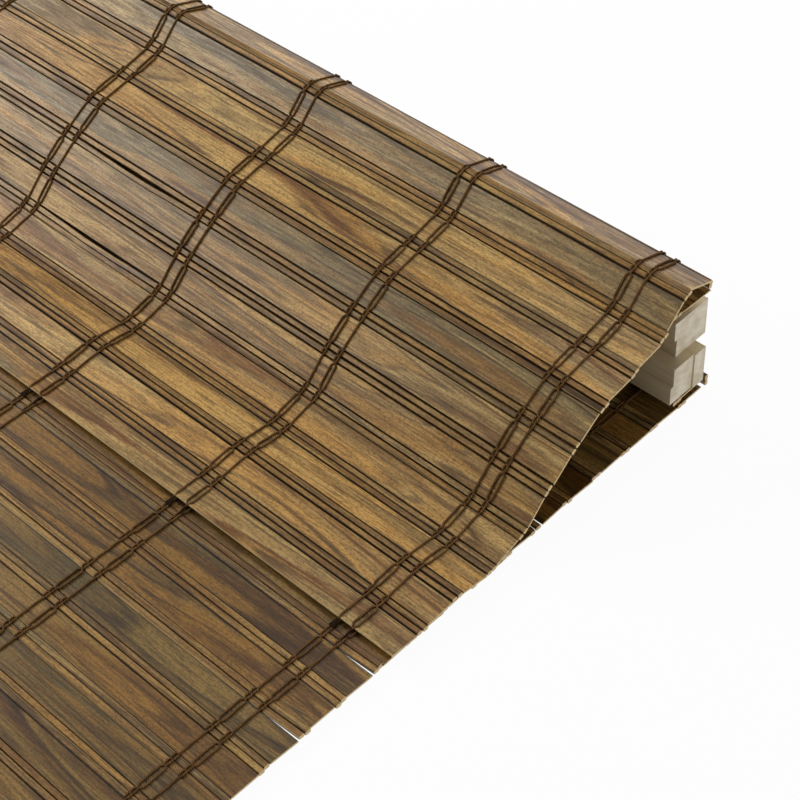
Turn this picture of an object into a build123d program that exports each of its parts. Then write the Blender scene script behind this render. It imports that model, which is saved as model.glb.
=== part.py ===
from build123d import *
import math
import os

# Woven wood blind lying on its back on a table, with its front up and its valance folded over.
# +X runs along the slats to the right end, +Y up the blind to its head, +Z out of its front.
# The origin is on the table, under the middle of the blind. All sizes are in millimetres.

# The mats
BLIND_WIDTH = 600.0
BLIND_DROP = 1200.0
SLAT_WIDTH = 12.6
SLAT_THICKNESS = 1.0
STICK_THICKNESS = 2.4
STICK_FLAT = 1.4
WEAVE_SLIT = 0.45
SLIT_WALL = 0.6

# Open slits at the mats' ends, past the last warp
SLIT_ROWS = 60
SLIT_LENGTH = 17.0

# The warps: pairs of cord lines that hold slats and sticks together
WARP_COUNT = 7
WARP_INSET = 24.0
LINE_SPACING = 7.4
CORD_WIDTH = 1.6
CORD_THICKNESS = 0.7
CORD_SEAT = 0.1
BEND_SLACK = 0.25
SHARP_BEND = 30.0

# The two pine battens, of one moulding with a step along its front
BATTEN_DEPTH = 21.0
BATTEN_HEIGHT = 18.8
BATTEN_STEP = 1.6
HEADRAIL_INSET = 3.0
HEADRAIL_SETBACK = 6.3
VALANCE_BATTEN_INSET = 7.5
VALANCE_BATTEN_SETBACK = 0.0
SAW_STEP = 0.8
SAW_STEP_DEPTH = 7.0

# Screw holes through the headrail, for fixing it under a lintel
SCREW_HOLE_DIAMETER = 4.5
SCREW_HOLE_INSET = 47.0

# Staples that hold the tucked ends of the mats to the battens
STAPLE_CROWN = 10.0
STAPLE_LEG = 10.0
STAPLE_WIRE_WIDTH = 1.2
STAPLE_WIRE_THICKNESS = 0.6

# How the valance lies: its first slat rises from the batten, the next leans forward, and the
# rest fall in a double curve and come to lie on the panel (degrees below the horizontal)
TUCK_RISE = 40.0
LOOP_LEAN = -11.0
VALANCE_FALL = (38.0, 15.0, 13.0, 30.0, 36.0, 42.0, 17.0)
VALANCE_LIE = (-7.0, 6.0, 1.0)

# Heights and lengths that follow from the sizes above
WARP_PITCH = (BLIND_WIDTH - 2 * WARP_INSET) / (WARP_COUNT - 1)
HEADRAIL_LENGTH = BLIND_WIDTH - 2 * HEADRAIL_INSET
VALANCE_BATTEN_LENGTH = BLIND_WIDTH - 2 * VALANCE_BATTEN_INSET
ROW_PITCH = SLAT_WIDTH + 2 * STICK_THICKNESS + 3 * WEAVE_SLIT
PANEL_ROWS = round((BLIND_DROP - SLAT_WIDTH) / ROW_PITCH)
STICK_SPAN = STICK_THICKNESS + WEAVE_SLIT
CORD_INNER = STICK_THICKNESS / 2 + CORD_SEAT
CORD_OUTER = CORD_INNER + CORD_THICKNESS
LOOP_INNER = CORD_INNER + BEND_SLACK
LOOP_OUTER = CORD_OUTER + BEND_SLACK
PANEL_Z = CORD_OUTER
TUCK_Z = PANEL_Z + 2 * CORD_OUTER
HEADRAIL_Z = TUCK_Z + CORD_OUTER
VALANCE_BATTEN_Z = HEADRAIL_Z + BATTEN_HEIGHT
VALANCE_SEAT_Z = VALANCE_BATTEN_Z + BATTEN_HEIGHT

FOLD_RISE = CORD_OUTER - STICK_THICKNESS / 2
FOLD_OUT = math.sqrt((STICK_SPAN / 2) ** 2 - FOLD_RISE ** 2)
HEAD_REACH = FOLD_OUT + CORD_OUTER
PANEL_RUN = PANEL_ROWS * ROW_PITCH + SLAT_WIDTH + WEAVE_SLIT
HEAD_Y = (HEAD_REACH + PANEL_RUN + CORD_SEAT + CORD_THICKNESS) / 2
FOLD_Y = HEAD_Y - HEAD_REACH
FOOT_Y = FOLD_Y - PANEL_RUN

SLAT = "slat"
STICK = "stick"

os.makedirs("parts", exist_ok=True)


def span(kind):
    """Length that a slat or stick takes up in the weave, with half a slit on each side."""
    return SLAT_WIDTH + WEAVE_SLIT if kind == SLAT else STICK_SPAN


def towards_head(rise=0.0):
    """Heading of a piece that runs towards the head, rising by an angle in degrees."""
    return rise


def towards_foot(fall=0.0):
    """Heading of a piece that runs towards the foot, falling by an angle in degrees."""
    return 180.0 + fall


def lay(start_y, start_z, pieces):
    """Lay slats and sticks edge to edge; gives each one's kind, centre, heading and far edge."""
    y = start_y
    z = start_z
    laid = []
    for kind, heading in pieces:
        step_y = span(kind) * math.cos(math.radians(heading))
        step_z = span(kind) * math.sin(math.radians(heading))
        centre = (y + step_y / 2, z + step_z / 2)
        y += step_y
        z += step_z
        laid.append((kind, centre, heading, (y, z)))
    return laid


def with_sticks_between(slat_headings):
    """Slats at the given headings, with a pair of sticks sharing each bend between two slats."""
    pieces = [(SLAT, slat_headings[0])]
    for before, after in zip(slat_headings, slat_headings[1:]):
        turn = (after - before) / 3
        pieces += [(STICK, before + turn), (STICK, after - turn), (SLAT, after)]
    return pieces


def piece_face(kind, centre, heading):
    """Cross-section of one slat or stick, narrowing to the thin wall at the slits beside it."""
    thickness = SLAT_THICKNESS if kind == SLAT else STICK_THICKNESS
    flat = SLAT_WIDTH if kind == SLAT else STICK_FLAT
    nose = (span(kind) / 2, SLIT_WALL / 2)
    edge = (flat / 2, thickness / 2)
    upper = [nose, edge, (-edge[0], edge[1]), (-nose[0], nose[1])]
    corners = upper + [(-y, -z) for y, z in upper]
    return Plane.YZ * Pos(*centre) * Rot(0, 0, heading) * Polygon(*corners, align=None)


def link_face(start, end):
    """Thin wall from the middle of one piece to the middle of the next, round a bend."""
    length = math.dist(start, end)
    heading = math.degrees(math.atan2(end[1] - start[1], end[0] - start[0]))
    middle = ((start[0] + end[0]) / 2, (start[1] + end[1]) / 2)
    return Plane.YZ * Pos(*middle) * Rot(0, 0, heading) * Rectangle(length, SLIT_WALL)


def mat_solid(chain):
    """One mat: the chain of slats and sticks joined at their slits, as long as the blind is wide."""
    faces = [piece_face(kind, centre, heading) for kind, centre, heading, _ in chain]
    for before, after in zip(chain, chain[1:]):
        if before[2] != after[2]:
            faces.append(link_face(before[1], after[1]))
    section = Sketch() + faces
    return extrude(section, amount=BLIND_WIDTH / 2, both=True)


def end_slits(pieces):
    """Slits at both ends of a mat, one to a row, on either side of the stick pairs in turn."""
    slats = [piece for piece in pieces if piece[0] == SLAT]
    slits = []
    for row, (kind, centre, heading, edge) in enumerate(slats[:SLIT_ROWS]):
        near_edge = (2 * centre[0] - edge[0], 2 * centre[1] - edge[1])
        y, z = edge if row % 2 == 0 else near_edge
        for side in (-1, 1):
            x = side * (BLIND_WIDTH - SLIT_LENGTH) / 2
            slits.append(Location((x, y, z), (heading, 0, 0))
                         * Box(SLIT_LENGTH, WEAVE_SLIT, 2 * STICK_THICKNESS))
    return slits


def warp_positions():
    """Places of the warps along the slats, from left to right."""
    first = -(WARP_COUNT - 1) / 2 * WARP_PITCH
    return [first + index * WARP_PITCH for index in range(WARP_COUNT)]


def warp_pair(section, x):
    """Two cord lines with the given cross-section, side by side at one warp."""
    line = extrude(section, amount=CORD_WIDTH / 2, both=True)
    return Compound(children=[Pos(x + side * LINE_SPACING / 2, 0, 0) * line for side in (-1, 1)])


def bar_face(y_range, z_range):
    """Rectangle in the plane of the cross-sections, between two Y and two Z limits."""
    centre = (sum(y_range) / 2, sum(z_range) / 2)
    return Plane.YZ * Pos(*centre) * Rectangle(y_range[1] - y_range[0], z_range[1] - z_range[0])


def panel_cord_section(tuck_front):
    """A warp line of the panel: along the back, round the head fold, and back along the front."""
    back_z = (PANEL_Z - CORD_OUTER, PANEL_Z - CORD_INNER)
    front_z = (PANEL_Z + CORD_INNER, PANEL_Z + CORD_OUTER)
    between_z = (PANEL_Z + CORD_INNER, TUCK_Z - CORD_INNER)
    over_tuck_z = (TUCK_Z + CORD_INNER, TUCK_Z + CORD_OUTER)
    foot = FOOT_Y - CORD_SEAT - CORD_THICKNESS
    tuck_end = tuck_front - CORD_SEAT - CORD_THICKNESS
    inside_fold = FOLD_Y - WEAVE_SLIT / 2
    return Sketch() + [
        bar_face((foot, HEAD_Y), back_z),
        bar_face((foot, tuck_end), front_z),
        bar_face((tuck_end, inside_fold), between_z),
        bar_face((tuck_end, HEAD_Y), over_tuck_z),
        bar_face((HEAD_Y - CORD_THICKNESS, HEAD_Y), (back_z[0], over_tuck_z[1])),
        bar_face((foot, foot + CORD_THICKNESS), (back_z[0], front_z[1])),
        bar_face((tuck_end, tuck_end + CORD_THICKNESS), (front_z[0], over_tuck_z[1])),
    ]


def beside(stops, reach):
    """Line beside a row of straight runs, at a distance to their left, with mitred corners."""
    normals = []
    for start, end in zip(stops, stops[1:]):
        run = (end - start).normalized()
        normals.append(Vector(-run.Y, run.X))
    line = []
    for stop, before, after in zip(stops, normals[:1] + normals, normals + normals[-1:]):
        line.append(stop + (before + after) * (reach / (1 + before.dot(after))))
    return line


def loop_face(chain, reach, past_edge):
    """Outline round the valance's chain, at a distance from a line through its stick pairs."""
    first_stick, second_stick = chain[:2]
    stops = [2 * Vector(first_stick[1]) - Vector(first_stick[3]), Vector(second_stick[3])]
    for before, first, second, after in zip(chain, chain[1:], chain[2:], chain[3:]):
        if before[0] == SLAT and after[0] == SLAT:
            sharp = abs(after[2] - before[2]) > SHARP_BEND
            turns = [before[3], first[3], second[3]] if sharp else [first[3]]
            stops += [Vector(turn) for turn in turns]
    stops.append(Vector(chain[-1][3]))
    stops[0] += (stops[0] - stops[1]).normalized() * past_edge
    stops[-1] += (stops[-1] - stops[-2]).normalized() * past_edge
    outline = beside(stops, reach) + beside(stops[::-1], reach)
    return Plane.YZ * Polygon(*[(point.X, point.Y) for point in outline], align=None)


def loop_outside(chain):
    """Outline round the valance's warps."""
    return loop_face(chain, LOOP_OUTER, CORD_SEAT + CORD_THICKNESS)


def loop_inside(chain):
    """Outline of the space inside the valance's warps."""
    return loop_face(chain, LOOP_INNER, CORD_SEAT)


def valance_chain(fall_scale):
    """The valance's slats and sticks, from the end tucked on its batten to the free lower edge."""
    fall = [towards_foot(fall_scale * tilt) for tilt in VALANCE_FALL]
    lie = [towards_foot(tilt) for tilt in VALANCE_LIE]
    slats = with_sticks_between([towards_head(TUCK_RISE), towards_foot(LOOP_LEAN)] + fall + lie)
    pieces = [(STICK, towards_head()), (STICK, towards_head())] + slats
    front = HEAD_Y - VALANCE_BATTEN_SETBACK - BATTEN_DEPTH
    return lay(front, VALANCE_SEAT_Z + LOOP_OUTER, pieces)


def lowest_underside(chain):
    """Height of the lowest point of the warps under the valance's chain."""
    return min(corner.Z for corner in loop_outside(chain).vertices())


def settled_valance():
    """The valance with its fall eased or steepened until it comes to lie on the panel's warps."""
    gentle = 0.2
    steep = 2.0
    for _ in range(40):
        middle = (gentle + steep) / 2
        if lowest_underside(valance_chain(middle)) > PANEL_Z + CORD_OUTER:
            gentle = middle
        else:
            steep = middle
    return valance_chain(gentle)


def batten_section(back_y, bottom_z, deep_half):
    """Section of the batten moulding: the upper or lower half of its front stands forward."""
    front = back_y - BATTEN_DEPTH
    stepped = front + BATTEN_STEP
    middle = bottom_z + BATTEN_HEIGHT / 2
    top = bottom_z + BATTEN_HEIGHT
    low_front = front if deep_half == "lower" else stepped
    high_front = stepped if deep_half == "lower" else front
    corners = [(low_front, bottom_z), (back_y, bottom_z), (back_y, top), (high_front, top),
               (high_front, middle), (low_front, middle)]
    return Plane.YZ * Polygon(*corners, align=None)


def staples(y, crown_z, legs):
    """A row of wire staples, one midway between each two warps; legs is +1 for up, -1 for down."""
    crown = Pos(0, 0, legs * STAPLE_WIRE_THICKNESS / 2) * Box(
        STAPLE_CROWN, STAPLE_WIRE_WIDTH, STAPLE_WIRE_THICKNESS)
    staple = crown
    for side in (-1, 1):
        leg_x = side * (STAPLE_CROWN - STAPLE_WIRE_THICKNESS) / 2
        staple += Pos(leg_x, 0, legs * STAPLE_LEG / 2) * Box(
            STAPLE_WIRE_THICKNESS, STAPLE_WIRE_WIDTH, STAPLE_LEG)
    places = [x + WARP_PITCH / 2 for x in warp_positions()[:-1]]
    return [Pos(x, y, crown_z) * staple for x in places]


# The panel mat: tucked end under the headrail, tight fold at the head, and the long panel
panel_row = [(SLAT, towards_foot()), (STICK, towards_foot()), (STICK, towards_foot())]
tuck = lay(FOLD_Y, TUCK_Z, panel_row)
fold_y = FOLD_Y + FOLD_OUT
fold = [(STICK, (fold_y, TUCK_Z - FOLD_RISE), -90.0, None),
        (STICK, (fold_y, PANEL_Z + FOLD_RISE), -90.0, None)]
panel = lay(FOLD_Y, PANEL_Z, panel_row * PANEL_ROWS + [(SLAT, towards_foot())])
tuck_slat_y = tuck[0][1][0]
tuck_front = tuck[-1][3][0]

# The valance mat
valance = settled_valance()
tucked_pair_slit = valance[0][3]

# Staples: up through the tucked slat into the headrail, and down between the tucked sticks
headrail_staples = staples(tuck_slat_y, TUCK_Z - SLAT_THICKNESS / 2 - STAPLE_WIRE_THICKNESS, 1)
valance_staples = staples(tucked_pair_slit[0], tucked_pair_slit[1] + STICK_THICKNESS / 2, -1)

panel_mat = mat_solid(tuck[::-1] + fold + panel) - end_slits(panel) - headrail_staples
valance_mat = mat_solid(valance) - end_slits(valance[2:]) - valance_staples

# The headrail batten, with the ridge that the saw left on its right end and its screw holes
headrail_back = HEAD_Y - HEADRAIL_SETBACK
headrail_section = batten_section(headrail_back, HEADRAIL_Z, "lower")
headrail_batten = extrude(headrail_section, amount=HEADRAIL_LENGTH / 2, both=True)
saw_ridge = Box(SAW_STEP, SAW_STEP_DEPTH, BATTEN_HEIGHT)
headrail_batten += Pos((HEADRAIL_LENGTH + SAW_STEP) / 2, headrail_back - SAW_STEP_DEPTH / 2,
                       HEADRAIL_Z + BATTEN_HEIGHT / 2) * saw_ridge
for side in (-1, 1):
    hole_x = side * (HEADRAIL_LENGTH / 2 - SCREW_HOLE_INSET)
    hole_place = Location((hole_x, headrail_back - BATTEN_DEPTH / 2, HEADRAIL_Z + BATTEN_HEIGHT / 4),
                          (90, 0, 0))
    headrail_batten -= hole_place * Cylinder(SCREW_HOLE_DIAMETER / 2, 2 * BATTEN_DEPTH)
headrail_batten -= headrail_staples

# The valance batten, the same moulding turned over, resting on the headrail
valance_batten_section = batten_section(HEAD_Y - VALANCE_BATTEN_SETBACK, VALANCE_BATTEN_Z, "upper")
valance_batten = extrude(valance_batten_section, amount=VALANCE_BATTEN_LENGTH / 2, both=True)
valance_batten -= valance_staples

# The warps of both mats
panel_cord = panel_cord_section(tuck_front)
valance_cord = loop_outside(valance) - loop_inside(valance)

nodes = {
    "panel_mat": panel_mat,
    "valance_mat": valance_mat,
    "headrail_batten": headrail_batten,
    "valance_batten": valance_batten,
    "headrail_staples": Compound(children=headrail_staples),
    "valance_staples": Compound(children=valance_staples),
}
for number, warp_x in enumerate(warp_positions(), start=1):
    nodes[f"panel_warp_{number}"] = warp_pair(panel_cord, warp_x)
    nodes[f"valance_warp_{number}"] = warp_pair(valance_cord, warp_x)

for name, solid in nodes.items():
    export_step(solid, f"parts/{name}.step")
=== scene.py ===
import math
import random

import bpy
import numpy as np
from mathutils import Euler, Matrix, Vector


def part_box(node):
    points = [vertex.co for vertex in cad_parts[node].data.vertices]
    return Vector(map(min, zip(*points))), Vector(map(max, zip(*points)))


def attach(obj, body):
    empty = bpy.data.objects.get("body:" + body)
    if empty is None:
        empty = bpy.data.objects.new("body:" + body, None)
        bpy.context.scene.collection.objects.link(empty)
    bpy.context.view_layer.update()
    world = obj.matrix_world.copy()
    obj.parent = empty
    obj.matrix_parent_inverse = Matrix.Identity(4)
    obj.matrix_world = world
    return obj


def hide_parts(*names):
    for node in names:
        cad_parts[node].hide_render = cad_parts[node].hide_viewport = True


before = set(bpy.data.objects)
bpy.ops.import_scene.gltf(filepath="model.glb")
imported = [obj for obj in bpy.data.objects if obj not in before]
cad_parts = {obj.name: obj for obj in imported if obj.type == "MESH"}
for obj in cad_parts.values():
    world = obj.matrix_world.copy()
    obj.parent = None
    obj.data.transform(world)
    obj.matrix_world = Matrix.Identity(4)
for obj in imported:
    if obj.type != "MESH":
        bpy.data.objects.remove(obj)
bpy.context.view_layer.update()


# The panel's weave: thin veneer slats lie side by side up the blind, each followed by two thin
# sticks. The first slat and a stick pair are tucked back over the panel, under the headrail.
# The rows near the head were pushed together when the head was stapled, so the rest sit higher.
MM = 0.001
STICK_WIDTH = 2.4 * MM
STICK_SPAN = 2.85 * MM
PANEL_SLIT = 0.06 * MM
ROW_PITCH = 18.75 * MM
PANEL_ROWS = 63
CROWDED_ROWS = 10
EASED_ROWS = 24
CROWDING = 6.0 * MM
TUCK_START = 1.6 * STICK_WIDTH
FOLD_START = 1.3 * STICK_WIDTH

panel_low, panel_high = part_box("panel_mat")
PANEL_Z = panel_low.z + STICK_WIDTH / 2
TUCK_Z = panel_high.z - STICK_WIDTH / 2
FOLD_Y = panel_high.y - STICK_WIDTH / 2
TO_HEAD = 0.0
TO_FOOT = 180.0
TO_FLOOR = -90.0


class WeavePiece:
    """A slat or a stick in a mat: where its middle is, which way it heads, and how wide it is."""

    def __init__(self, kind, y, z, heading, width):
        self.kind = kind
        self.y = y
        self.z = z
        self.heading = math.radians(heading)
        self.width = width

    def place(self, along, above):
        """Point of the cross-section, a distance along the heading and a height over the middle."""
        run = (math.cos(self.heading), math.sin(self.heading))
        return (self.y + along * run[0] + above * run[1], self.z + along * run[1] - above * run[0])


def panel_pair_y(row):
    """Where the middle of a row's stick pair lies, up the blind."""
    crowded = min(row / CROWDED_ROWS, (EASED_ROWS - row) / (EASED_ROWS - CROWDED_ROWS))
    first_pair = FOLD_Y + STICK_WIDTH - ROW_PITCH
    return first_pair - row * ROW_PITCH + CROWDING * max(crowded, 0.0)


def panel_chain():
    """All slats and sticks of the panel mat in order, from its tucked end to its foot."""
    stick = STICK_SPAN - PANEL_SLIT
    tuck_slat = ROW_PITCH - 2 * STICK_SPAN
    tuck_y = FOLD_Y - TUCK_START - tuck_slat / 2
    chain = []
    for step in (2, 1):
        stick_y = tuck_y - tuck_slat / 2 - (step - 0.5) * STICK_SPAN
        chain.append(WeavePiece("stick", stick_y, TUCK_Z, TO_HEAD, stick))
    chain.append(WeavePiece("slat", tuck_y, TUCK_Z, TO_HEAD, tuck_slat))
    for side in (1, -1):
        fold_z = (PANEL_Z + TUCK_Z) / 2 + side * STICK_SPAN / 2
        chain.append(WeavePiece("stick", FOLD_Y, fold_z, TO_FLOOR, stick))
    upper_edge = FOLD_Y - FOLD_START
    for row in range(PANEL_ROWS):
        pair_y = panel_pair_y(row)
        lower_edge = pair_y + STICK_SPAN
        width = upper_edge - lower_edge - PANEL_SLIT
        chain.append(WeavePiece("slat", (upper_edge + lower_edge) / 2, PANEL_Z, TO_FOOT, width))
        for side in (1, -1):
            chain.append(WeavePiece("stick", pair_y + side * STICK_SPAN / 2, PANEL_Z, TO_FOOT, stick))
        upper_edge = pair_y - STICK_SPAN
    foot = panel_low.y
    width = upper_edge - foot - PANEL_SLIT
    chain.append(WeavePiece("slat", (upper_edge + foot) / 2, PANEL_Z, TO_FOOT, width))
    return chain


# Panel slats: strips of smoke-stained wood, sliced about a millimetre thick and left rough. Their
# grain runs along them in bands of honey, umber and driftwood grey, and their ends are sawn by eye.
SLAT_STATIONS = 41
SLAT_THICKNESS = 0.9 * MM
SLAT_EDGE = 0.26 * MM
SLAT_WAVE = 0.10 * MM
SLAT_CUP = 0.10 * MM
SLAT_ASKEW = 0.04
LONG_SWELL = 23.0
SHORT_SWELL = 61.0
SHARP_EDGE = math.radians(40)
END_RAGGED = 0.35 * MM
HEAD_END = 3.3 * MM
HEAD_PIECES = 17
END_EASE = 0.09 * MM
FOOT_END = 0.3 * MM

OCHRE = (0.590, 0.318, 0.075, 1.0)
TAN = (0.456, 0.246, 0.052, 1.0)
UMBER = (0.195, 0.080, 0.016, 1.0)
SLATE = (0.245, 0.180, 0.076, 1.0)
CREAM = (0.700, 0.475, 0.165, 1.0)
LATEWOOD = (0.045, 0.019, 0.004, 1.0)
# Painted shade for the edges of slats and sticks that sit in a slit.
SLIT_SHADE = (0.016, 0.008, 0.003, 1.0)
SAWN_END = (0.640, 0.480, 0.240, 1.0)
BARE_SHARE = 0.18
STAIN_SPREAD = 0.08
WOOD_RELIEF = 0.15 * MM

# How the grain is stretched along a piece, across it and from piece to piece.
FIGURE_SCALE = (3.6, 58.0, 7.31)
RING_SCALE = (9.0, 120.0, 2.7)
STREAK_SCALE = (60.0, 1000.0, 5.3)
SPECKLE_SCALE = (700.0, 1700.0, 1.7)
BAND_SCALES = ((11.0, 3.17), (9.0, 5.93), (13.0, 8.71))
BAND_RUN = 2.6
SLAT_GRAIN_STEP = 0.37

# How a stain came out: how warm the wood is, and how far it has gone to slate grey. The rows at the head
# are given warmer, lighter tones than the rest, as painted light in the shadowed opening under the valance.
TONES = {"ochre": (0.85, 0.0), "tan": (0.62, 0.10), "rose": (0.52, 0.55), "slate": (0.42, 0.78),
         "brown": (0.32, 0.05), "dusk": (0.05, 0.50)}
PANEL_TONES = ("slate", "tan", "rose", "brown", "tan", "slate", "ochre")
# Lighter tones for the head rows: painted light for the opening under the valance.
HEAD_LIT_TONES = ("ochre", "ochre", "ochre", "tan", "ochre", "ochre", "ochre")


class MeshBuilder:
    """Collects the rings of many long pieces into one mesh, with values for their finish."""

    def __init__(self):
        self.corners = []
        self.faces = []
        self.values = {"grain": [], "tint": [], "slit": []}
        self.count = 0

    def add_corners(self, corners, grain, tint, slit):
        """Corners with their place in the grain, their stain, and how deep they are in a slit, which the
        wood paints as shade; below zero it paints a bare pale edge instead.
        """
        total = len(corners)
        self.corners.append(corners)
        self.values["grain"].append(grain)
        self.values["tint"].append(np.broadcast_to(tint, (total, 3)))
        self.values["slit"].append(np.broadcast_to(slit, (total, 3)))
        self.count += total

    def add_bar(self, rings, grain, tint, cut_tint, slit=(0.0,)):
        """A closed bar through rings of corners, (stations, around, 3), with flat sawn ends."""
        stations, around = rings.shape[:2]
        ring_index = np.arange(stations * around).reshape(stations, around) + self.count
        turned = np.roll(ring_index, -1, axis=1)
        quads = np.stack([ring_index[:-1], turned[:-1], turned[1:], ring_index[1:]], axis=-1)
        self.faces += quads.reshape(-1, 4).tolist()
        depth = np.broadcast_to(np.array(slit)[None, :, None], (stations, around, 3))
        self.add_corners(rings.reshape(-1, 3), grain.reshape(-1, 3), tint, depth.reshape(-1, 3))
        for end in (0, -1):
            cap = np.arange(around) + self.count
            self.faces.append((cap if end == -1 else cap[::-1]).tolist())
            self.add_corners(rings[end], grain[end], cut_tint, 0.0)

    def build(self, name, material):
        """The finished object, with its values, material and smooth sides."""
        mesh = bpy.data.meshes.new(name)
        mesh.from_pydata(np.concatenate(self.corners).tolist(), [], self.faces)
        for label, rows in self.values.items():
            layer = mesh.attributes.new(label, "FLOAT_VECTOR", "POINT")
            layer.data.foreach_set("vector", np.concatenate(rows).astype(np.float32).ravel())
        mesh.polygons.foreach_set("use_smooth", [True] * len(mesh.polygons))
        mesh.set_sharp_from_angle(angle=SHARP_EDGE)
        mesh.materials.append(material)
        piece = bpy.data.objects.new(name, mesh)
        bpy.context.scene.collection.objects.link(piece)
        return piece


class NodeBoard:
    """A material's node tree, with short calls for the nodes that the finishes are made of."""

    def __init__(self, name):
        self.material = bpy.data.materials.new(name)
        self.material.use_nodes = True
        self.tree = self.material.node_tree
        self.shader = self.tree.nodes["Principled BSDF"]

    def add(self, kind, inputs=(), **settings):
        """A new node with its settings; an input is a number, a colour or another node's socket."""
        node = self.tree.nodes.new(kind)
        for key, value in settings.items():
            setattr(node, key, value)
        for key, value in dict(inputs).items():
            self.feed(node.inputs[key], value)
        return node

    def feed(self, socket, value):
        """Links a socket to an output, or sets its own value."""
        if isinstance(value, bpy.types.NodeSocket):
            self.tree.links.new(value, socket)
        else:
            socket.default_value = value

    def attribute(self, label):
        """A vector attribute of the mesh."""
        return self.add("ShaderNodeAttribute", attribute_name=label).outputs["Vector"]

    def parts(self, vector):
        """The three numbers of a vector."""
        return self.add("ShaderNodeSeparateXYZ", {0: vector}).outputs

    def stretched(self, vector, scale):
        """A vector with each of its numbers multiplied."""
        node = self.add("ShaderNodeVectorMath", {0: vector, 1: scale}, operation="MULTIPLY")
        return node.outputs["Vector"]

    def noise(self, vector, detail=2.0, roughness=0.5, distortion=0.0):
        """Soft noise from 0 to 1."""
        inputs = {"Vector": vector, "Scale": 1.0, "Detail": detail, "Roughness": roughness,
                  "Distortion": distortion}
        return self.add("ShaderNodeTexNoise", inputs).outputs["Fac"]

    def math(self, operation, first, second=0.0, clamp=False):
        """One sum of two numbers or sockets."""
        node = self.add("ShaderNodeMath", {0: first, 1: second}, operation=operation, use_clamp=clamp)
        return node.outputs[0]

    def remap(self, value, low, high, to_low, to_high):
        """A number moved from one range to another, held inside it."""
        inputs = {"Value": value, "From Min": low, "From Max": high, "To Min": to_low, "To Max": to_high}
        return self.add("ShaderNodeMapRange", inputs).outputs["Result"]

    def mix(self, factor, first, second, blend="MIX"):
        """Two colours mixed."""
        node = self.add("ShaderNodeMix", data_type="RGBA", blend_type=blend)
        sockets = (node.inputs[0], node.inputs[6], node.inputs[7])
        for socket, value in zip(sockets, (factor, first, second)):
            self.feed(socket, value)
        return node.outputs[2]

    def bump(self, height, distance, strength=1.0):
        """A bump of a real height in metres."""
        node = self.add("ShaderNodeBump", {"Height": height, "Distance": distance, "Strength": strength})
        return node.outputs["Normal"]


def stained_wood(name, ring_count, band_swing, depth):
    """Stained wood: bands and fine rings that follow its figure, streaks, pale sawn ends, pale bare edges
    and painted shade on the edges in slits, all multiplied by depth.
    """
    board = NodeBoard(name)
    grain = board.attribute("grain")
    along, _, seed = board.parts(grain)
    warmth, greyness, cut = board.parts(board.attribute("tint"))
    slit = board.parts(board.attribute("slit"))[0]

    stretched = board.stretched(grain, FIGURE_SCALE)
    figure = board.noise(stretched, detail=1.2, roughness=0.4, distortion=0.5)
    bands = []
    for spread, offset in BAND_SCALES:
        place = board.add("ShaderNodeCombineXYZ", {0: board.math("MULTIPLY", figure, spread),
                                                   1: board.math("MULTIPLY", seed, offset),
                                                   2: board.math("MULTIPLY", along, BAND_RUN)}).outputs[0]
        bands.append(board.remap(board.noise(place, detail=2.0), 0.38, 0.62, -band_swing, band_swing))
    warm_share = board.math("ADD", warmth, bands[0], clamp=True)
    grey_share = board.math("ADD", greyness, board.math("MULTIPLY", bands[1], 0.8), clamp=True)
    pale_share = board.math("MULTIPLY", bands[2], 0.8, clamp=True)

    rings = board.math("SINE", board.math("MULTIPLY", figure, ring_count))
    ring_noise = board.noise(board.stretched(grain, RING_SCALE))
    ring_strength = board.remap(ring_noise, 0.35, 0.65, 0.2, 1.0)
    latewood = board.math("MULTIPLY", board.remap(rings, 0.70, 0.98, 0.0, 1.0), ring_strength)
    streaks = board.noise(board.stretched(grain, STREAK_SCALE), detail=3.0, roughness=0.65)
    speckle = board.noise(board.stretched(grain, SPECKLE_SCALE), detail=2.0, roughness=0.7)

    colour = board.mix(warm_share, UMBER, board.mix(warm_share, TAN, OCHRE))
    colour = board.mix(grey_share, colour, SLATE)
    colour = board.mix(pale_share, colour, CREAM)
    colour = board.mix(latewood, colour, board.mix(0.75, colour, LATEWOOD))
    dark_streak = board.mix(0.66, colour, LATEWOOD)
    colour = board.mix(board.remap(streaks, 0.33, 0.55, 0.95, 0.0), colour, dark_streak)
    colour = board.mix(board.remap(streaks, 0.54, 0.70, 0.0, 0.32), colour, SAWN_END)
    colour = board.mix(board.remap(speckle, 0.34, 0.54, 0.55, 0.0), colour, LATEWOOD)
    # The whole colour is multiplied by depth: a tone for the sticks, and on the panel's copy partly painted
    # shade.
    colour = board.mix(1.0, colour, (*depth, 1.0), "MULTIPLY")
    sawn = board.mix(board.remap(speckle, 0.4, 0.6, 0.5, 0.0), SAWN_END, TAN)
    colour = board.mix(cut, colour, sawn)
    # Edges in a slit are painted dark as shade; the next line paints bare edges pale.
    colour = board.mix(board.remap(slit, 0.0, 1.0, 0.0, 1.0), colour, SLIT_SHADE)
    colour = board.mix(board.remap(slit, -1.0, 0.0, 0.85, 0.0), colour, SAWN_END)
    board.feed(board.shader.inputs["Base Color"], colour)

    board.feed(board.shader.inputs["Roughness"], board.remap(streaks, 0.3, 0.7, 0.50, 0.32))
    board.shader.inputs["Specular IOR Level"].default_value = 0.36
    pores = board.math("MULTIPLY", speckle, 0.3)
    relief = board.math("ADD", board.math("MULTIPLY", streaks, 0.7), pores)
    board.feed(board.shader.inputs["Normal"], board.bump(relief, WOOD_RELIEF, 0.8))
    return board.material


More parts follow.
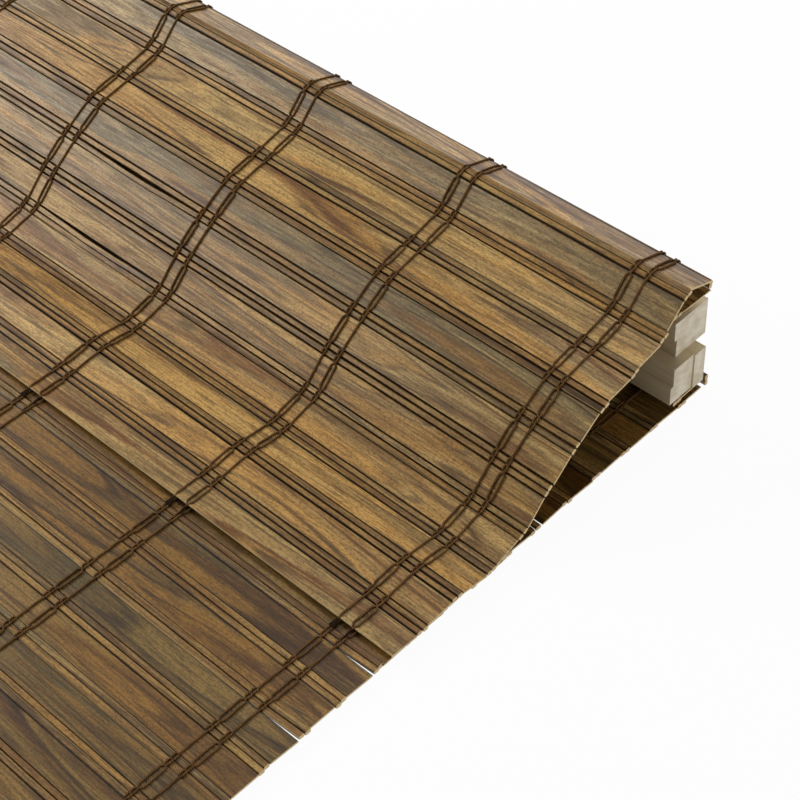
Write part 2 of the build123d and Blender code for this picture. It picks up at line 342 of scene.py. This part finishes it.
def add_slat(builder, piece, ends, tint, seed, bare_foot=False, slant=0.0):
    """One slat: a thin strip with eased edges, some of them bare, a little cupped, wavy and askew."""
    chance = random.Random(seed)
    half = piece.width / 2
    thick = SLAT_THICKNESS / 2
    shoulder = half - SLAT_EDGE
    crown = 0.92 * half
    lip = 0.3 * thick
    # Each long edge carries painted slit shade, unless it is bare and painted pale.
    edges = [-1.0 if chance.random() < BARE_SHARE else 1.0 for _ in range(2)]
    if bare_foot:
        edges[0] = -1.0
    upper = [(half, lip, edges[0]), (shoulder, thick, 0.5 * edges[0]), (crown, thick, 0.0),
             (-crown, thick, 0.0), (-shoulder, thick, 0.5 * edges[1]), (-half, lip, edges[1])]
    outline = upper + [(-across, -above, deep) for across, above, deep in upper]
    cup = chance.uniform(-SLAT_CUP, SLAT_CUP)
    phases = [chance.uniform(0, 2 * math.pi) for _ in range(3)]
    askew = [lean + chance.uniform(-SLAT_ASKEW, SLAT_ASKEW) for lean in (-slant, slant)]
    rings = np.zeros((SLAT_STATIONS, len(outline), 3))
    grain = np.zeros_like(rings)
    for station, share in enumerate(np.linspace(0.0, 1.0, SLAT_STATIONS)):
        x = ends[0] + share * (ends[1] - ends[0])
        swell = math.sin(LONG_SWELL * x + phases[0]) + 0.6 * math.sin(SHORT_SWELL * x + phases[1])
        wave = SLAT_WAVE * swell
        for corner, (across, above, _) in enumerate(outline):
            lift = above + wave + cup * (0.5 - (across / half) ** 2)
            shift = across * (askew[0] * (1 - share) + askew[1] * share)
            rings[station, corner] = (x + shift, *piece.place(across, lift))
            grain[station, corner] = (x + seed * SLAT_GRAIN_STEP, across, seed)
    builder.add_bar(rings, grain, (*tint, 0.0), (*tint, 1.0), [deep for _, _, deep in outline])


def stain(tone, seed):
    """The tone's warmth and greyness, a little different on each piece."""
    chance = random.Random(seed * 7 + 1)
    shifted = [value + chance.uniform(-STAIN_SPREAD, STAIN_SPREAD) for value in TONES[tone]]
    return tuple(min(max(value, 0.0), 1.0) for value in shifted)


def sawn_ends(seed, left, right):
    """Where a slat or stick starts and stops, each end sawn by eye."""
    chance = random.Random(seed * 13 + 5)
    left += chance.uniform(-END_RAGGED, END_RAGGED)
    right += chance.uniform(-END_RAGGED, END_RAGGED)
    return (left, right)


def panel_ends(number):
    """Ends of one of the panel's pieces; the first rows at the head are sawn shorter."""
    short = max(HEAD_END - END_EASE * max(number - HEAD_PIECES, 0), FOOT_END)
    return sawn_ends(number, panel_low.x + short, panel_high.x - short)


panel = panel_chain()
# The panel's copy of the veneer is multiplied darker and warmer: partly painted shade for the dimmer light
# on the panel, partly a warmer colour.
panel_veneer = stained_wood("shaded_veneer", ring_count=64.0, band_swing=0.75, depth=(0.54, 0.48, 0.34))
panel_slats = MeshBuilder()
for number, weave_piece in enumerate(panel):
    if weave_piece.kind == "slat":
        row = number // 3
        # The head rows take the lighter tones, as painted light in the opening.
        tone = HEAD_LIT_TONES[row] if row < len(HEAD_LIT_TONES) else PANEL_TONES[row % len(PANEL_TONES)]
        add_slat(panel_slats, weave_piece, panel_ends(number), stain(tone, number), number)
panel_slats = panel_slats.build("panel_slats", panel_veneer)
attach(panel_slats, "root")
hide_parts("panel_mat")


# Panel sticks: thin split sticks of the same stained wood, planed flat on top with eased corners.
# Two lie after each slat, stand a little above it, and splay a little past the last warp.
STICK_STATIONS = 33
STICK_HEIGHT = 2.0 * MM
STICK_EDGE = 0.36 * MM
STICK_BOW = 0.08 * MM
STICK_SPLAY = 0.15 * MM
LONG_BOW = 19.0
SHORT_BOW = 47.0
STICK_GRAIN_STEP = 0.29
SPRUNG_ROWS = {10: 1.0 * MM, 12: 0.9 * MM, 19: 0.6 * MM, 33: 0.8 * MM, 47: 0.7 * MM}
LOOSE_STICKS = {21: 1.0 * MM, 22: 1.9 * MM}
STICK_TONES = ("tan", "ochre", "brown", "tan", "rose", "tan", "brown")

last_warp_low, last_warp_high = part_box("panel_warp_7")
LAST_WARP_X = (last_warp_low.x + last_warp_high.x) / 2


def add_stick(builder, piece, ends, tint, seed, splay, sag=None):
    """One stick: eight-sided, slightly bowed, with its ends splayed; one may sag between two warps."""
    chance = random.Random(seed * 3 + 2)
    half = piece.width / 2
    tall = STICK_HEIGHT / 2 * chance.uniform(0.88, 1.0)
    top = half - STICK_EDGE * chance.uniform(0.8, 1.4)
    side = 0.5 * tall
    # A stick's lower sides always carry painted slit shade, its upper sides too unless bare, and its top
    # corners a little.
    edges = [-0.9 if chance.random() < BARE_SHARE else 1.0 for _ in range(2)]
    outline = [(half, -side, 1.0), (half, side, edges[0]), (top, tall, 0.12), (-top, tall, 0.12),
               (-half, side, edges[1]), (-half, -side, 1.0), (-top, -tall, 0.0), (top, -tall, 0.0)]
    phases = [chance.uniform(0, 2 * math.pi) for _ in range(2)]
    rings = np.zeros((STICK_STATIONS, len(outline), 3))
    grain = np.zeros_like(rings)
    for station, share in enumerate(np.linspace(0.0, 1.0, STICK_STATIONS)):
        x = ends[0] + share * (ends[1] - ends[0])
        bow = STICK_BOW * (math.sin(LONG_BOW * x + phases[0]) + 0.5 * math.sin(SHORT_BOW * x + phases[1]))
        past = max(abs(x) - LAST_WARP_X, 0.0) / (panel_high.x - LAST_WARP_X)
        drift = splay[0 if x < 0 else 1] * past ** 2
        if sag is not None and sag[0] < x < sag[1]:
            drift += sag[2] * math.sin(math.pi * (x - sag[0]) / (sag[1] - sag[0])) ** 2
        for corner, (across, above, _) in enumerate(outline):
            rings[station, corner] = (x, *piece.place(across + drift, above + 0.5 * bow))
            grain[station, corner] = (x + seed * STICK_GRAIN_STEP, across + 0.6 * above, seed + 0.5)
    builder.add_bar(rings, grain, (*tint, 0.0), (*tint, 1.0), [deep for _, _, deep in outline])


def splay_of(row, sprung=0.0):
    """How far both ends of a row's stick pair have splayed; a sprung pair leaves a gap below it."""
    chance = random.Random(row * 5 + 3)
    left = chance.uniform(-STICK_SPLAY, STICK_SPLAY)
    right = -sprung or chance.uniform(-STICK_SPLAY, STICK_SPLAY)
    return (left, right)


split_wood = stained_wood("split_stick_wood", ring_count=90.0, band_swing=0.45, depth=(0.95, 0.93, 0.88))
panel_sticks = MeshBuilder()
for number, weave_piece in enumerate(panel):
    if weave_piece.kind == "stick":
        tone = random.Random(number).choice(STICK_TONES)
        row = number // 3 - 2
        splay = splay_of(row, SPRUNG_ROWS.get(row, 0.0) - LOOSE_STICKS.get(number, 0.0))
        add_stick(panel_sticks, weave_piece, panel_ends(number), stain(tone, number), number, splay)
panel_sticks = panel_sticks.build("panel_sticks", split_wood)
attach(panel_sticks, "root")
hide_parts("panel_mat")


# Panel warps: pairs of brown twisted cords that tie slats and sticks together. In each line one strand
# stays in front and one behind; the third crosses over the sticks and lies in front of every other slat.
# Where they cross in the slits, they pull into small knots, which are painted dark as the shade in the
# slits.
STRAND_WIDTH = 1.0 * MM
STRAND_HEIGHT = 0.8 * MM
STRAND_SIDES = 6
LINE_SPACING = 7.3 * MM
STRAND_APART = 1.2 * MM
LOOP_APART = 0.8 * MM
STICK_REACH = STICK_HEIGHT / 2 + STRAND_HEIGHT / 2
SLAT_REACH = SLAT_THICKNESS / 2 + STRAND_HEIGHT / 2
SLIT_REACH = 0.75 * MM
KNOT_WIDTH = 2.2 * MM
KNOT_LENGTH = 1.2 * MM
KNOT_HEIGHT = 0.9 * MM
KNOT_STATIONS = (-0.95, -0.4, 0.4, 0.95)
# How far a knot is painted dark, as the shade in its slit.
KNOT_SHADE = 0.6
TURNS_PER_METRE = 1100.0
CORD_RELIEF = 0.12 * MM

CORD_BROWN = (0.210, 0.100, 0.030, 1.0)
CORD_DARK = (0.018, 0.008, 0.002, 1.0)
# Painted highlight for the crests of the plies.
CORD_HIGHLIGHT = (0.360, 0.210, 0.085, 1.0)


def in_front(strand, piece, doubled):
    """Whether a strand lies in front of a piece; the crossing one lies behind every other slat."""
    return strand == "front" or strand == "crossing" and (piece.kind == "stick" or doubled)


def strand_stops(chain, line, strand):
    """Where a strand passes: how far sideways from its line, and over or under which place."""
    over_slat = {"front": -STRAND_APART, "crossing": STRAND_APART, "back": -STRAND_APART}
    over_stick = {"front": -LOOP_APART, "crossing": LOOP_APART, "back": 0.0}
    stops = []
    row = 0
    for number, piece in enumerate(chain):
        doubled = (row + line) % 2 == 0
        front = in_front(strand, piece, doubled)
        following = chain[number + 1] if number + 1 < len(chain) else None
        if piece.kind == "slat":
            alone = strand == "front" and not doubled or strand == "back" and doubled
            side = 0.0 if alone else over_slat[strand]
            reach = SLAT_REACH if front else -SLAT_REACH
            for share in (-0.38, 0.0, 0.38):
                stops.append((side, piece.place(share * piece.width, reach)))
            row += 1
        else:
            second = following is None or following.kind == "slat"
            side = -over_stick[strand] if second else over_stick[strand]
            reach = STICK_REACH if front else -STICK_REACH
            for share, lift in ((-0.34, 0.92), (0.0, 1.0), (0.34, 0.92)):
                stops.append((side * lift * lift, piece.place(share * piece.width, lift * reach)))
        if following is not None:
            doubled = (row + line) % 2 == 0
            faces = (front, in_front(strand, following, doubled))
            reach = SLIT_REACH * (sum(faces) - 1)
            near = piece.place(piece.width / 2, reach)
            far = following.place(-following.width / 2, reach)
            stops.append((0.25 * side, ((near[0] + far[0]) / 2, (near[1] + far[1]) / 2)))
    last = chain[-1]
    stops.append((0.0, last.place(last.width / 2 + STRAND_HEIGHT / 2, 0.0)))
    return stops


def add_strand(builder, line_x, stops, seed, dark=0.0):
    """One strand as a slightly flattened tube through its stops."""
    path = np.array([(line_x + side, y, z) for side, (y, z) in stops])
    ahead = np.gradient(path, axis=0)
    ahead /= np.linalg.norm(ahead, axis=1, keepdims=True)
    sideways = np.array((1.0, 0.0, 0.0)) - ahead * ahead[:, :1]
    sideways /= np.linalg.norm(sideways, axis=1, keepdims=True)
    upward = np.cross(ahead, sideways)
    run = np.concatenate([[0.0], np.cumsum(np.linalg.norm(np.diff(path, axis=0), axis=1))])
    turns = np.arange(STRAND_SIDES) / STRAND_SIDES
    angle = 2 * np.pi * turns - np.pi / 2
    across = STRAND_WIDTH / 2 * np.cos(angle)[None, :, None] * sideways[:, None, :]
    over = STRAND_HEIGHT / 2 * np.sin(angle)[None, :, None] * upward[:, None, :]
    rings = path[:, None, :] + across + over
    grain = np.zeros_like(rings)
    grain[..., 0] = run[:, None]
    grain[..., 1] = turns[None, :]
    grain[..., 2] = seed
    # The tint is how far the strand is painted dark: the tails take it as painted shade, and the cut ends
    # are painted fully dark.
    builder.add_bar(rings, grain, (dark, 0.0, 0.0), (1.0, 0.0, 0.0))


def add_knot(builder, line_x, piece, along, reach, seed, size):
    """A knot where strands cross in a slit: a small tight bead, wider than it is long, painted dark as
    shade.
    """
    rings = np.zeros((len(KNOT_STATIONS), STRAND_SIDES, 3))
    grain = np.zeros_like(rings)
    for station, share in enumerate(KNOT_STATIONS):
        round_off = math.sqrt(1 - share * share)
        for corner in range(STRAND_SIDES):
            angle = 2 * math.pi * corner / STRAND_SIDES
            y, z = piece.place(along + size * KNOT_LENGTH / 2 * round_off * math.cos(angle),
                               reach + size * KNOT_HEIGHT / 2 * round_off * math.sin(angle))
            rings[station, corner] = (line_x + share * size * KNOT_WIDTH / 2, y, z)
            turn = (corner / STRAND_SIDES + 0.25) % 1.0
            grain[station, corner] = (share * KNOT_WIDTH / 2, turn, seed)
    builder.add_bar(rings, grain, (KNOT_SHADE, 0.0, 0.0), (KNOT_SHADE, 0.0, 0.0))


def twisted_cord(name):
    """Two-ply cotton cord: slanting plies, with painted shade between them and on the cord's flanks and
    underside, and a painted highlight on top, broken up by fuzz.
    """
    board = NodeBoard(name)
    grain = board.attribute("grain")
    run, turn, _ = board.parts(grain)
    dark = board.parts(board.attribute("tint"))[0]
    winding = board.math("MULTIPLY", run, TURNS_PER_METRE)
    slant = board.math("ADD", winding, board.math("MULTIPLY", turn, 2.0))
    ply = board.math("SINE", board.math("MULTIPLY", slant, 2 * math.pi))
    fuzz = board.noise(board.stretched(grain, (5200.0, 9.0, 3.3)), detail=2.0)
    darker_patches = board.noise(board.stretched(grain, (160.0, 0.0, 5.1)), detail=1.0)
    top = board.remap(ply, -0.2, 1.0, 0.0, 0.75)
    # Painted shade in the grooves between the plies.
    colour = board.mix(board.remap(ply, -1.0, 0.1, 0.7, 0.0), CORD_BROWN, CORD_DARK)
    # A painted highlight on the ply crests, broken up by fuzz.
    crest_highlight = board.math("MULTIPLY", top, board.remap(fuzz, 0.45, 0.75, 0.0, 0.9))
    colour = board.mix(crest_highlight, colour, CORD_HIGHLIGHT)
    # Random darker patches along the cord, its own colour.
    colour = board.mix(board.remap(darker_patches, 0.4, 0.7, 0.0, 0.5), colour, CORD_DARK)
    # Painted shade on the cord's flanks and underside; only its top stays light.
    flank = board.math("ABSOLUTE", board.math("SUBTRACT", turn, 0.5))
    colour = board.mix(board.remap(flank, 0.08, 0.25, 0.0, 0.65), colour, CORD_DARK)
    # Knots and tails are painted dark here by their tint, as shade; cut ends too.
    colour = board.mix(dark, colour, CORD_DARK)
    board.feed(board.shader.inputs["Base Color"], colour)
    board.shader.inputs["Roughness"].default_value = 0.85
    board.shader.inputs["Specular IOR Level"].default_value = 0.15
    height = board.math("ADD", ply, board.math("MULTIPLY", fuzz, 0.6))
    board.feed(board.shader.inputs["Normal"], board.bump(height, CORD_RELIEF, 0.8))
    return board.material


def tie_mat(name, chain, warp_x, cord, seed, tail):
    """Both lines of one warp through a mat, with knots in its slits and cut tails at its edge, both painted
    dark as shade.
    """
    builder = MeshBuilder()
    chance = random.Random(seed)
    last = chain[-1]
    for line, side in enumerate((-1, 1)):
        line_x = warp_x + side * LINE_SPACING / 2
        for number, strand in enumerate(("front", "crossing", "back")):
            add_strand(builder, line_x, strand_stops(chain, line, strand), seed * 7 + line * 3 + number)
        for number, piece in enumerate(chain[:-1]):
            for face in (1, -1):
                size = chance.uniform(0.8, 1.1)
                reach = face * SLIT_REACH
                add_knot(builder, line_x, piece, piece.width / 2, reach, seed + number, size)
        for spread in (-1, 0, 1) if line == 0 else (0,):
            fan = spread * STRAND_WIDTH
            length = tail * chance.uniform(0.85, 1.0)
            stops = [(share * fan, last.place(last.width / 2 + share * length, -share * tail / 4))
                     for share in (-0.2, 0.2, 0.6, 1.0)]
            # The tails are painted fully dark, as shade.
            add_strand(builder, line_x, stops, seed, 1.0)
    piece = builder.build(name, cord)
    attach(piece, "root")
    return piece


cotton = twisted_cord("brown_twisted_cotton")
PANEL_TAIL = 1.5 * MM
warp_numbers = range(1, 8)
for warp in warp_numbers:
    warp_low, warp_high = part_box(f"panel_warp_{warp}")
    warp_x = (warp_low.x + warp_high.x) / 2
    cords = tie_mat(f"panel_cords_{warp}", panel, warp_x, cotton, warp, PANEL_TAIL)
    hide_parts(f"panel_warp_{warp}")


# Headrail and valance battens: two lengths of one planed pine moulding with a step along the front,
# sawn off square. The headrail lies on the tucked end of the panel, the other batten on top of it.
PINE_PALE = (0.660, 0.540, 0.340, 1.0)
PINE_RING = (0.540, 0.400, 0.220, 1.0)
PINE_END = (0.700, 0.630, 0.500, 1.0)
PINE_STAIN = (0.520, 0.440, 0.310, 1.0)
HEART_Y = 0.56
HEART_Z = -0.03
RING_TURNS = 1900.0
RING_WANDER = 7.0
PINE_RELIEF = 0.08 * MM


def planed_pine(name):
    """Planed pine: long rings from the tree's own growth, and blotched, greyer sawn ends."""
    board = NodeBoard(name)
    place = board.add("ShaderNodeTexCoord").outputs["Object"]
    wander = board.noise(board.stretched(place, (2.5, 30.0, 30.0)), detail=2.0)
    _, y, z = board.parts(place)
    from_heart = {1: board.math("SUBTRACT", y, HEART_Y), 2: board.math("SUBTRACT", z, HEART_Z)}
    heart = board.add("ShaderNodeCombineXYZ", from_heart).outputs[0]
    distance = board.add("ShaderNodeVectorMath", {0: heart}, operation="LENGTH").outputs["Value"]
    bend = board.math("MULTIPLY", wander, RING_WANDER)
    rings = board.math("ADD", board.math("MULTIPLY", distance, RING_TURNS), bend)
    late = board.remap(board.math("SINE", rings), 0.1, 1.0, 0.0, 0.4)
    fibres = board.noise(board.stretched(place, (45.0, 2600.0, 2600.0)), detail=3.0)
    blotches = board.noise(board.stretched(place, (150.0, 150.0, 150.0)), detail=3.0)
    facing = board.parts(board.add("ShaderNodeNewGeometry").outputs["True Normal"])[0]
    end = board.remap(board.math("ABSOLUTE", facing), 0.8, 0.95, 0.0, 1.0)
    sawn = board.mix(board.remap(blotches, 0.40, 0.62, 0.0, 0.8), PINE_END, PINE_STAIN)
    sawn = board.mix(board.math("MULTIPLY", late, 0.4), sawn, PINE_RING)
    planed = board.mix(late, PINE_PALE, PINE_RING)
    planed = board.mix(board.remap(fibres, 0.35, 0.65, 0.22, 0.0), planed, PINE_RING)
    board.feed(board.shader.inputs["Base Color"], board.mix(end, planed, sawn))
    board.feed(board.shader.inputs["Roughness"], board.remap(fibres, 0.3, 0.7, 0.72, 0.55))
    board.feed(board.shader.inputs["Normal"], board.bump(fibres, PINE_RELIEF, 0.6))
    return board.material


pine = planed_pine("planed_pine")
for batten in ("headrail_batten", "valance_batten"):
    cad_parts[batten].data.materials.clear()
    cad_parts[batten].data.materials.append(pine)


# Staples: bent from flat galvanised steel wire and shot through the tucked ends of both mats, which
# they hold to the battens. Their crowns lie along the slats.
STEEL = (0.560, 0.565, 0.570, 1.0)
STEEL_DULL = (0.330, 0.330, 0.325, 1.0)


def galvanised_wire(name):
    """Zinc-coated wire: bright, with dull spots."""
    board = NodeBoard(name)
    place = board.add("ShaderNodeTexCoord").outputs["Object"]
    spots = board.noise(board.stretched(place, (900.0, 900.0, 900.0)), detail=3.0)
    dull = board.remap(spots, 0.4, 0.65, 0.0, 1.0)
    board.feed(board.shader.inputs["Base Color"], board.mix(dull, STEEL, STEEL_DULL))
    board.feed(board.shader.inputs["Roughness"], board.remap(spots, 0.3, 0.7, 0.28, 0.5))
    board.shader.inputs["Metallic"].default_value = 1.0
    return board.material


zinc = galvanised_wire("galvanised_wire")
for row_of_staples in ("headrail_staples", "valance_staples"):
    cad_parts[row_of_staples].data.materials.clear()
    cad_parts[row_of_staples].data.materials.append(zinc)


# The valance's weave: a short mat of the same make. Its first stick pair is stapled on the upper
# batten; the first slat rises to a tight fold, the next leans forward over the edge, and the rest
# fall in a double curve and come to lie on the panel.
VALANCE_SLAT = 13.49 * MM
VALANCE_SLIT = 0.38 * MM
SEAT_CLEARANCE = 1.8 * MM
TUCK_RISE = 43.0
LOOP_LEAN = -17.0
VALANCE_FALL = (44.0, 14.0, 11.0, 31.0, 36.0, 44.0, 15.0, -6.0, 7.0, 0.0)

batten_low, batten_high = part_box("valance_batten")


def valance_chain():
    """All slats and sticks of the valance in order, from its tucked end to its lower edge."""
    headings = [TUCK_RISE, TO_FOOT + LOOP_LEAN] + [TO_FOOT + fall for fall in VALANCE_FALL]
    steps = [("stick", TO_HEAD), ("stick", TO_HEAD), ("slat", headings[0])]
    for before, after in zip(headings, headings[1:]):
        turn = (after - before) / 3
        steps += [("stick", before + turn), ("stick", after - turn), ("slat", after)]
    y = batten_low.y
    z = batten_high.z + SEAT_CLEARANCE
    chain = []
    for kind, heading in steps:
        span = VALANCE_SLAT if kind == "slat" else STICK_SPAN
        step_y = span * math.cos(math.radians(heading))
        step_z = span * math.sin(math.radians(heading))
        chain.append(WeavePiece(kind, y + step_y / 2, z + step_z / 2, heading, span - VALANCE_SLIT))
        y += step_y
        z += step_z
    return chain


# Valance slats and sticks, of the same woods as the panel's. The tucked sticks and the fold are sawn
# shorter than the rest, which hide them.
TUCK_END = 8.8 * MM
TUCKED_SLAT_END = 5.8 * MM
TUCKED_SLANT = 0.42
FOLD_END = 5.5 * MM
EVEN_PIECES = 17
TUCKED_SLAT = 2
VALANCE_SEED = 500
VALANCE_TONES = ("tan", "tan", "slate", "ochre", "tan", "slate", "tan", "tan", "ochre", "tan",
                 "ochre", "dusk")
SAGS = {19: 0.95 * MM, 24: 0.9 * MM, 25: 0.5 * MM}
SAG_WARPS = (4, 5)

sag_boxes = [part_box(f"valance_warp_{warp}") for warp in SAG_WARPS]
sag_from, sag_to = [sum(corner.x for corner in corners) / 2 for corners in sag_boxes]


def valance_ends(number):
    """Ends of one of the valance's pieces, from the tucked end on; they come even past the fold."""
    tucked = (TUCK_END, TUCK_END, TUCKED_SLAT_END)
    past_tuck = FOLD_END * max(1 - number / EVEN_PIECES, 0.0) ** 2
    short = tucked[number] if number < len(tucked) else past_tuck
    return sawn_ends(VALANCE_SEED + number, panel_low.x + short, panel_high.x - short)


valance = valance_chain()
# The valance's copy is left almost as it is, without the panel's painted shade.
valance_veneer = stained_wood("unshaded_veneer", ring_count=64.0, band_swing=0.7, depth=(0.99, 0.97, 0.94))
valance_slats = MeshBuilder()
valance_sticks = MeshBuilder()
for number, weave_piece in enumerate(valance):
    seed = VALANCE_SEED + number
    ends = valance_ends(number)
    if weave_piece.kind == "slat":
        tint = stain(VALANCE_TONES[number // 3], seed)
        is_last = number == len(valance) - 1
        slant = TUCKED_SLANT if number == TUCKED_SLAT else 0.0
        add_slat(valance_slats, weave_piece, ends, tint, seed, is_last, slant)
    else:
        tint = stain(random.Random(seed).choice(STICK_TONES), seed)
        sag = (sag_from, sag_to, SAGS[number]) if number in SAGS else None
        add_stick(valance_sticks, weave_piece, ends, tint, seed, splay_of(seed), sag)
valance_slats = valance_slats.build("valance_slats", valance_veneer)
valance_sticks = valance_sticks.build("valance_sticks", split_wood)
for piece in (valance_slats, valance_sticks):
    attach(piece, "root")
    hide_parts("valance_mat")


# Valance warps: the same cords through the valance, cut off a little below its edge, where their tails rest
# on the panel and are painted dark as the shade under the edge.
VALANCE_TAIL = 4.6 * MM
CORD_SEED = 20
for warp in warp_numbers:
    warp_low, warp_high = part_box(f"valance_warp_{warp}")
    warp_x = (warp_low.x + warp_high.x) / 2
    cords = tie_mat(f"valance_cords_{warp}", valance, warp_x, cotton, CORD_SEED + warp, VALANCE_TAIL)
    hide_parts(f"valance_warp_{warp}")


# The stage: a white paper table top that sweeps up into a low white cove all round, in a dim room.
# For the camera the paper is mostly a white glow, with a share left over that takes the shadow.
FLOOR_DROP = 0.3 * MM
COVE = ((2.6, 0.0), (3.2, 0.15), (3.6, 0.5), (3.8, 1.0), (3.85, 1.6))
COVE_SIDES = 48
FLOOR_WHITE = (0.90, 0.90, 0.89, 1.0)
FLOOR_GLOW = 0.96
PURE_WHITE = (1.0, 1.0, 1.0, 1.0)
ROOM_LIGHT = 0.13


def camera_white(board):
    """1 where the camera sees a surface by itself, in a mirror or through glass."""
    path = board.add("ShaderNodeLightPath").outputs
    mirrored = board.math("ADD", path["Is Camera Ray"], path["Is Glossy Ray"], clamp=True)
    return board.math("ADD", mirrored, path["Is Transmission Ray"], clamp=True)


floor_corners = [(0.0, 0.0, -FLOOR_DROP)]
floor_faces = []
for ring, (radius, rise) in enumerate(COVE):
    for step in range(COVE_SIDES):
        turn = 2 * math.pi * step / COVE_SIDES
        floor_corners.append((radius * math.cos(turn), radius * math.sin(turn), rise - FLOOR_DROP))
        here = 1 + ring * COVE_SIDES + step
        beside = 1 + ring * COVE_SIDES + (step + 1) % COVE_SIDES
        if ring == 0:
            floor_faces.append((0, here, beside))
        else:
            floor_faces.append((here - COVE_SIDES, here, beside, beside - COVE_SIDES))
floor_mesh = bpy.data.meshes.new("table_top")
floor_mesh.from_pydata(floor_corners, [], floor_faces)
floor = bpy.data.objects.new("table_top", floor_mesh)
bpy.context.scene.collection.objects.link(floor)
paper = NodeBoard("white_paper")
matt = paper.add("ShaderNodeBsdfDiffuse", {"Color": FLOOR_WHITE}).outputs[0]
glow = paper.add("ShaderNodeEmission", {"Color": PURE_WHITE}).outputs[0]
share = paper.math("MULTIPLY", camera_white(paper), FLOOR_GLOW)
joined = paper.add("ShaderNodeMixShader", {0: share, 1: matt, 2: glow}).outputs[0]
paper.feed(paper.tree.nodes["Material Output"].inputs["Surface"], joined)
floor_mesh.materials.append(paper.material)

world = bpy.data.worlds.new("dim_room")
world.use_nodes = True
room = world.node_tree.nodes["Background"]
room.inputs["Color"].default_value = PURE_WHITE
room.inputs["Strength"].default_value = ROOM_LIGHT
bpy.context.scene.world = world


# The light: a soft box over the head, a long one like a window on the left, a low one behind the head
# for the sheen of the fold, and a weak one on the right for the sawn ends.
def soft_box(name, place, aim, width, height, power):
    """A lamp with a white front that looks at a point."""
    lamp = bpy.data.lights.new(name, "AREA")
    lamp.shape = "RECTANGLE"
    lamp.size = width
    lamp.size_y = height
    lamp.energy = power
    holder = bpy.data.objects.new(name, lamp)
    holder.location = place
    holder.rotation_euler = (Vector(aim) - Vector(place)).to_track_quat("-Z", "Y").to_euler()
    bpy.context.scene.collection.objects.link(holder)


soft_box("head_box", place=(0.10, 0.85, 1.0), aim=(0.0, 0.5, 0.0), width=0.6, height=0.6, power=3.5)
soft_box("window_box", place=(-0.85, 0.20, 0.66), aim=(0.05, 0.42, 0.03), width=1.3, height=0.5, power=13.3)
soft_box("rim_box", place=(-0.75, 2.0, 0.45), aim=(0.0, 0.5, 0.05), width=1.4, height=1.0, power=5.0)
soft_box("fill_box", place=(1.3, 0.6, 0.24), aim=(0.3, 0.55, 0.03), width=0.8, height=0.4, power=4.3)


# The camera: a long lens over the right of the blind, looking across its upper right corner. It
# stands about 0.8 m away and tilts a little to its side.
FOCAL_LENGTH = 88.07
SENSOR_WIDTH = 36.0
CAMERA_PLACE = (0.6216, 0.1053, 0.5757)
CAMERA_TURN = (45.05, 2.24, 43.68)

lens = bpy.data.cameras.new("camera")
lens.sensor_width = SENSOR_WIDTH
lens.lens = FOCAL_LENGTH
lens.clip_start = 0.01
camera = bpy.data.objects.new("camera", lens)
camera.location = CAMERA_PLACE
camera.rotation_euler = Euler([math.radians(angle) for angle in CAMERA_TURN])
bpy.context.scene.collection.objects.link(camera)
bpy.context.scene.camera = camera
bpy.context.scene.view_settings.view_transform = "Standard"
